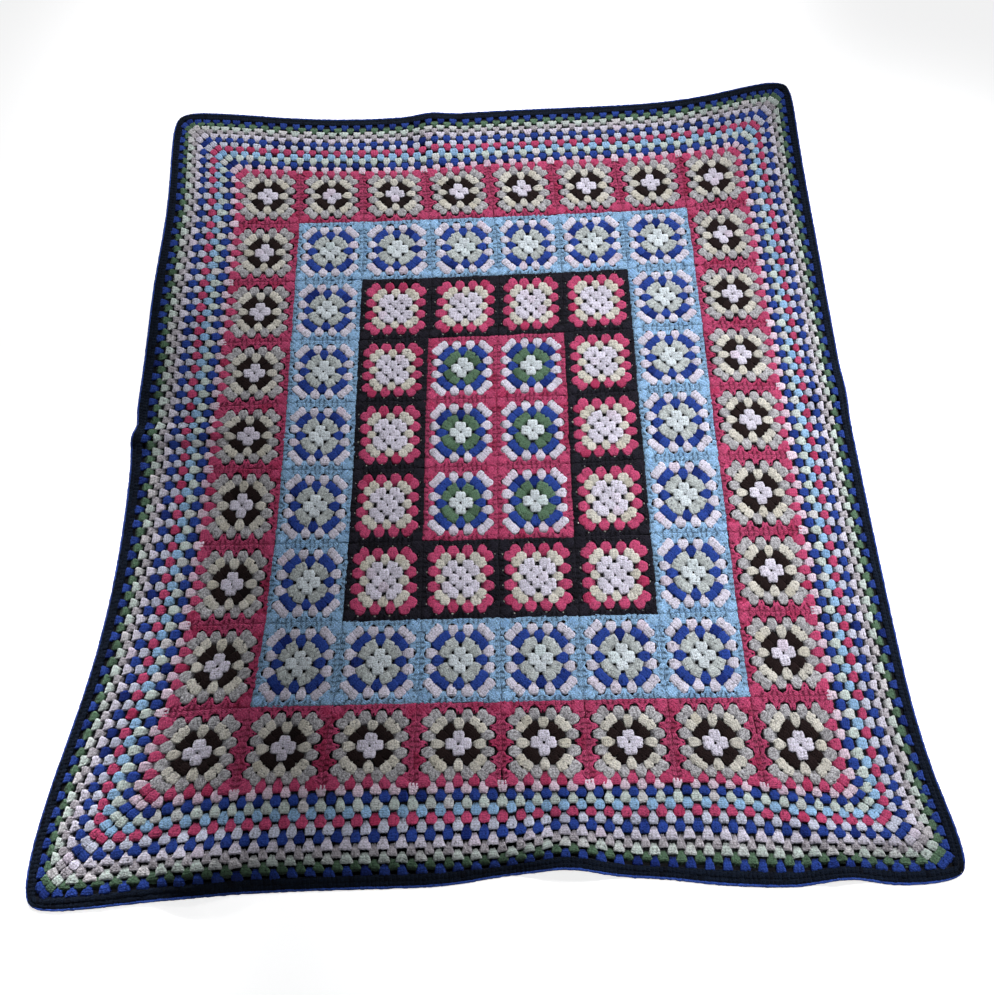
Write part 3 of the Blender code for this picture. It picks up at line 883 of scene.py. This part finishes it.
smallStations = (
    (-1.00, 0.05, 0.0, -0.5),
    (-0.62, 0.86, 0.0, 0.4),
    (0.00, 1.00, 0.0, 0.7),
    (0.62, 0.86, 0.0, 0.4),
    (1.00, 0.05, 0.0, -0.5),
)
smallForms = {
    "post": (
        (0.00, 0.94, 0.10, 0.0, 0.0, 0.0),
        (0.12, 0.98, 0.80, 0.0, 0.0, 0.0),
        (0.55, 1.00, 0.90, 0.0, 0.0, 0.0),
        (0.88, 1.00, 1.00, 0.0, 0.3, 0.0),
        (1.00, 0.94, 0.10, 0.0, 0.6, 0.0),
    ),
    "cord": (
        (0.00, 0.60, 0.10, 0.0, 0.0, 0.0),
        (0.20, 0.95, 0.85, 0.0, 0.0, 0.0),
        (0.50, 1.00, 1.00, 0.0, 0.0, 0.0),
        (0.80, 0.95, 0.85, 0.0, 0.0, 0.0),
        (1.00, 0.60, 0.10, 0.0, 0.0, 0.0),
    ),
}

edging = {
    "stray": 0.25,
    # distance out of its middle, length, height
    "rows": ((0.0030, 0.0088, 0.0042), (0.0092, 0.0070, 0.0039)),
    "pitch": 0.0054,
    "overlap": 1.62,
    "cordOut": 0.0135,
    "cordPitch": 0.0056,
    "cordSize": (0.0036, 0.0124, 0.0042),
    "cordTurn": math.radians(88),
}


def putEdging(stitches):
    for side in range(4):
        half = (panelU if side % 2 == 0 else panelV) + roundsDepth
        turn = math.radians(90 * side - 90)
        for out, length, height in edging["rows"]:
            reach = half + out
            count = round(2 * reach / edging["pitch"])
            for index in range(count):
                along = ((index + 0.5) / count * 2 - 1) * reach
                u, v = sidePlace(side, along, roundsDepth + out)
                stitches.put(u, v, turn, 2 * reach / count * edging["overlap"], length, height, "post",
                             "navyYarn")
        reach = half + edging["cordOut"]
        count = round(2 * reach / edging["cordPitch"])
        width, length, height = edging["cordSize"]
        for index in range(count):
            along = ((index + 0.5) / count * 2 - 1) * reach
            u, v = sidePlace(side, along, roundsDepth + edging["cordOut"])
            stitches.put(u, v, turn + edging["cordTurn"], width, length, height, "cord", "brightBlueYarn")


# the pieces

def dress(piece, node):
    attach(piece, "root")
    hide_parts(node)
    return piece


square = blanket["square"]
for seed, (name, tier) in enumerate(tiers.items()):
    width, length = tier["outer"][0] * square, tier["outer"][1] * square
    whole = width * length - tier["inner"][0] * tier["inner"][1] * square**2
    if name != "raspberry":
        piece = joinStitches(f"{name}Squares", dressTier(name, seed))
        dress(piece, tier["node"])
        continue
    halves = (("farSquares", lambda u, v: v > -square / 2), ("nearSquares", lambda u, v: v < -square / 2))
    for number, (part, test) in enumerate(halves):
        piece = joinStitches(f"{name}{part[0].upper()}{part[1:]}", dressTier(name, seed + 10 * number, test))
        dress(piece, tier["node"])
        rows = 5 if number == 0 else 4
        count = sum(1 for u, v, rims in squaresOf(tier) if test(u, v))
        rows * square
        count * square**2

borderPieces = {}
for name, node, first, last, seed in (
    ("joiningRound", "joining_round", 0, 1, 20),
    ("innerRounds", "border_rounds", 1, border["innerRounds"], 21),
    ("outerRounds", "border_rounds", border["innerRounds"], len(borderRounds), 22),
):
    groups = [
        borderStitches[index].shape(np.random.default_rng(seed + 10 * index)) for index in range(first, last)
    ]
    borderPieces[name] = dress(joinStitches(name, groups), node)

edgingStitches = Stitches(smallStations, smallForms)
putEdging(edgingStitches)
edgingGroup = edgingStitches.shape(np.random.default_rng(40), edging["stray"])
borderPieces["edgingBand"] = joinStitches("edgingBand", [edgingGroup])
dress(borderPieces["edgingBand"], "edging_band")

# each ring of the border, cut open at a corner and straightened: from the feet of its first round to the
# heads of its last; the edging stands as the hem of the outer rounds in the table below, though nothing here
# uses it: by itself its surface is about 3.1 times its flat size; the area check doesn't count it
for name, first, last, hem in (
    ("joiningRound", 0, 0, ()),
    ("innerRounds", 1, border["innerRounds"] - 1, ()),
    ("outerRounds", border["innerRounds"], len(borderRounds) - 1, (borderPieces["edgingBand"],)),
):
    start, end = roundReach(first)[0], roundReach(last)[1]
    length = 4 * (panelU + panelV + start + end)
    end - start
    print(f"{name}: a strip of {(end - start) / mm:.1f} by {length / mm:.0f} mm")


# floor, light and camera

studio = {
    "floorSize": 60.0,
    "backdropRadius": 29.0,
    "floorColour": (0.80, 0.80, 0.81),
    "floorGlow": 0.80,
    "paintedShadowInset": 5.0 * mm,  # a near-black sheet under the blanket paints its shadow on the floor, up to this far inside its edge
    "paintedShadowColour": (0.012, 0.012, 0.014),
    # the beams: place, aim, width of the cone in degrees, share of it that fades, power
    "beams": {
        "windowBeam": ((1.6, 1.2, 2.2), (0.48, -0.07, 0.0), 32.0, 0.88, 290.0),
        "nearBeam": ((1.5, 0.9, 2.0), (0.50, -0.25, 0.0), 22.0, 0.45, 125.0),
        "farBeam": ((0.7, 2.1, 2.0), (-0.10, 0.77, 0.0), 35.0, 1.0, 350.0),
        "leftEdgeBeam": ((-0.75, 1.0, 0.8), (-0.66, -0.50, 0.0), 15.0, 0.80, 360.0),
    },
    "beamSize": 0.22,
    "fillPlace": (1.2, 1.4, 2.2),
    "fillAim": (0.0, 0.0, 0.0),
    "fillSize": 1.6,
    "fillPower": 1.3,
    "worldColour": (0.93, 0.96, 1.0),
    "worldStrength": 0.085,
}


def makeFloor():
    # the floor, and a round backdrop of the same colour that only the camera sees
    bpy.ops.mesh.primitive_plane_add(size=studio["floorSize"], location=(0, 0, 0))
    floor = bpy.context.object
    floor.name = "floor"
    bpy.ops.mesh.primitive_uv_sphere_add(segments=96, ring_count=48, radius=studio["backdropRadius"])
    backdrop = bpy.context.object
    backdrop.name = "backdrop"
    bpy.ops.object.shade_smooth()
    tree = ShaderTree("paleFloor")
    tree.shader.inputs["Base Color"].default_value = (*studio["floorColour"], 1.0)
    tree.shader.inputs["Roughness"].default_value = 0.7
    tree.shader.inputs["Emission Color"].default_value = (1.0, 1.0, 1.0, 1.0)
    tree.shader.inputs["Emission Strength"].default_value = studio["floorGlow"]
    floor.data.materials.append(tree.material)
    floor.visible_diffuse = False  # its glow keeps it white and leaves the hem in the shade
    backdrop.data.materials.append(tree.material)
    backdrop.visible_diffuse = backdrop.visible_glossy = backdrop.visible_shadow = False
    backdrop.visible_transmission = False


def makePaintedShadowSheet():
    # a near-black sheet on the floor under the blanket: painted shadow, also seen through the openings
    # between the stitches
    inset = studio["paintedShadowInset"]
    corners = [(-1, -1), (1, -1), (1, 1), (-1, 1)]
    share = np.linspace(0, 1, 80, endpoint=False)[:, None]
    ends = corners[1:] + corners[:1]
    sides = [np.array(start) + share * (np.array(end) - start) for start, end in zip(corners, ends)]
    u, v = (np.concatenate(sides) * (halfU - inset, halfV - inset)).T
    points = liesAt(u, v, 0.0)
    points[:, 2] = 0.00005
    mesh = bpy.data.meshes.new("paintedShadowSheet")
    mesh.from_pydata([tuple(point) for point in points], [], [range(len(points))])
    tree = ShaderTree("paintedShadowSheet")
    tree.shader.inputs["Base Color"].default_value = (*studio["paintedShadowColour"], 1.0)
    tree.shader.inputs["Roughness"].default_value = 1.0
    tree.shader.inputs["Specular IOR Level"].default_value = 0.0
    mesh.materials.append(tree.material)
    ground = bpy.data.objects.new("paintedShadowSheet", mesh)
    bpy.context.scene.collection.objects.link(ground)


def makeLight(name, kind, place, aim, power):
    light = bpy.data.lights.new(name, kind)
    light.energy = power
    lamp = bpy.data.objects.new(name, light)
    lamp.location = place
    lamp.rotation_euler = (Vector(aim) - Vector(place)).to_track_quat("-Z", "Y").to_euler()
    bpy.context.scene.collection.objects.link(lamp)
    return light


def makeLights():
    for name, (place, aim, cone, fading, power) in studio["beams"].items():
        light = makeLight(name, "SPOT", place, aim, power)
        light.spot_size = math.radians(cone)
        light.spot_blend = fading
        light.shadow_soft_size = studio["beamSize"]
    fill = makeLight("fill", "AREA", studio["fillPlace"], studio["fillAim"], studio["fillPower"])
    fill.shape = "DISK"
    fill.size = studio["fillSize"]


def makeWorld():
    world = bpy.data.worlds.new("studio")
    world.use_nodes = True
    back = world.node_tree.nodes["Background"]
    back.inputs["Color"].default_value = (*studio["worldColour"], 1.0)
    back.inputs["Strength"].default_value = studio["worldStrength"]
    bpy.context.scene.world = world


shot = {
    "place": (0.0759, -0.5243, 1.4338),
    "turn": 4.245,
    "tilt": 26.031,
    "roll": -5.763,
    "lens": 34.37,
    "shiftY": -0.1734,
}


def makeCamera():
    data = bpy.data.cameras.new("camera")
    data.lens = shot["lens"]
    data.sensor_width = 36.0
    data.shift_y = shot["shiftY"]
    camera = bpy.data.objects.new("camera", data)
    turn, tilt, roll = (math.radians(shot[key]) for key in ("turn", "tilt", "roll"))
    around = Matrix.Rotation(turn, 4, "Z") @ Matrix.Rotation(tilt, 4, "X") @ Matrix.Rotation(roll, 4, "Z")
    camera.matrix_world = Matrix.Translation(shot["place"]) @ around
    bpy.context.scene.collection.objects.link(camera)
    bpy.context.scene.camera = camera


makeFloor()
makePaintedShadowSheet()
makeWorld()
makeLights()
makeCamera()
bpy.context.scene.view_settings.view_transform = "Standard"
